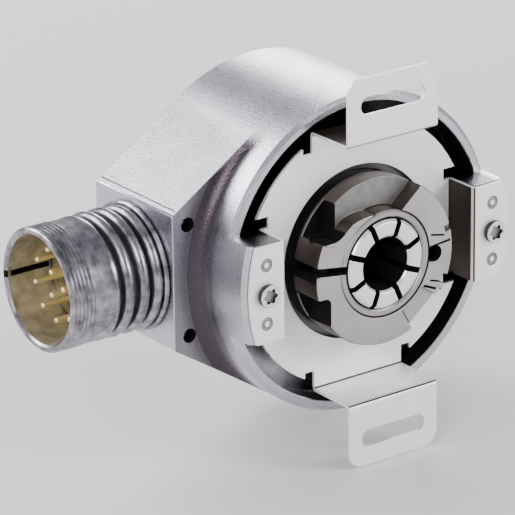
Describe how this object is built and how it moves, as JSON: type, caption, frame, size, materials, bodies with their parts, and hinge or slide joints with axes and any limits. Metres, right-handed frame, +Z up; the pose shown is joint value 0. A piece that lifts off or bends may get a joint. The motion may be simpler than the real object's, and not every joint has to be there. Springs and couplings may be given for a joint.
{
  "type": "rotary encoder",
  "caption": "Incremental rotary encoder with a blind hollow shaft and front clamp, a sprung stator coupling with slotted wings, and a radial round connector.",
  "frame": {"origin": "on the shaft axis, in the plane of the coupling wings' front faces, which lie against the machine's flange", "axes": "-Y points out of the shaft side towards the machine, +Y to the rear cover; -X is the direction the connector points in; +Z up, along the line through the two coupling wings"},
  "size_m": [0.0859, 0.0418, 0.0734],
  "materials": {
    "cast_aluminium": "fine-grained satin die casting",
    "machined_aluminium": "satin, turned",
    "spring_steel": "bright rolled sheet",
    "sintered_steel": "matt fine grain",
    "turned_steel": "fine turned",
    "collet_steel": "bright ground",
    "bearing_steel": "polished",
    "screw_steel": "bright zinc plated",
    "nickel_plated_brass": "satin nickel",
    "gold_contact": "gold plated",
    "insert_plastic": "satin",
    "black_rubber": "matt",
    "clear_glass": "polished",
    "circuit_board": "solder mask",
    "dark_plastic": "matt"
  },
  "bodies": {
    "stator": {"bearing_flange": "machined_aluminium", "board_screw_1": "screw_steel", "board_screw_2": "screw_steel", "board_screw_3": "screw_steel", "board_spacer_1": "screw_steel", "board_spacer_2": "screw_steel", "board_spacer_3": "screw_steel", "connector_insert": "insert_plastic", "connector_seal": "black_rubber", "connector_shell": "nickel_plated_brass", "contact_pin_1": "gold_contact", "contact_pin_10": "gold_contact", "contact_pin_11": "gold_contact", "contact_pin_12": "gold_contact", "contact_pin_2": "gold_contact", "contact_pin_3": "gold_contact", "contact_pin_4": "gold_contact", "contact_pin_5": "gold_contact", "contact_pin_6": "gold_contact", "contact_pin_7": "gold_contact", "contact_pin_8": "gold_contact", "contact_pin_9": "gold_contact", "coupling_screw_left": "screw_steel", "coupling_screw_right": "screw_steel", "cover_screw_1": "screw_steel", "cover_screw_2": "screw_steel", "cover_screw_3": "screw_steel", "cover_screw_4": "screw_steel", "cover_seal": "black_rubber", "flange_screw_1": "screw_steel", "flange_screw_2": "screw_steel", "flange_screw_3": "screw_steel", "front_outer_race": "bearing_steel", "housing": "cast_aluminium", "lead_bundle": "black_rubber", "led": "clear_glass", "led_holder": "dark_plastic", "lock_screw_lower": "screw_steel", "lock_screw_upper": "screw_steel", "main_board": "circuit_board", "processor_chip": "dark_plastic", "rear_cover": "cast_aluminium", "rear_outer_race": "bearing_steel", "retaining_ring": "bearing_steel", "sensor_chip": "dark_plastic", "shaft_seal": "black_rubber", "stator_coupling": "spring_steel", "wave_spring": "bearing_steel"},
    "rotor": {"hollow_shaft": "turned_steel", "collet": "collet_steel", "clamp_ring": "sintered_steel", "clamp_screw": "screw_steel", "front_inner_race": "bearing_steel", "rear_inner_race": "bearing_steel", "inner_race_spacer": "machined_aluminium", "disc_hub": "machined_aluminium", "code_disc": "clear_glass"},
    "front_cage": {"front_ball_cage": "bearing_steel"},
    "rear_cage": {"rear_ball_cage": "bearing_steel"}
  },
  "joints": [
    {"name": "shaft_spin", "type": "hinge", "parent": "stator", "child": "rotor", "pos_m": [0, 0, 0], "axis": [0, 1, 0], "continuous": true},
    {"name": "front_cage_spin", "type": "hinge", "parent": "stator", "child": "front_cage", "pos_m": [0, 0.0186, 0], "axis": [0, 1, 0], "continuous": true},
    {"name": "rear_cage_spin", "type": "hinge", "parent": "stator", "child": "rear_cage", "pos_m": [0, 0.0276, 0], "axis": [0, 1, 0], "continuous": true}
  ],
  "couplings": [
    {"joint": "front_cage_spin", "follows": "shaft_spin", "ratio": 0.4385},
    {"joint": "rear_cage_spin", "follows": "shaft_spin", "ratio": 0.4385}
  ]
}
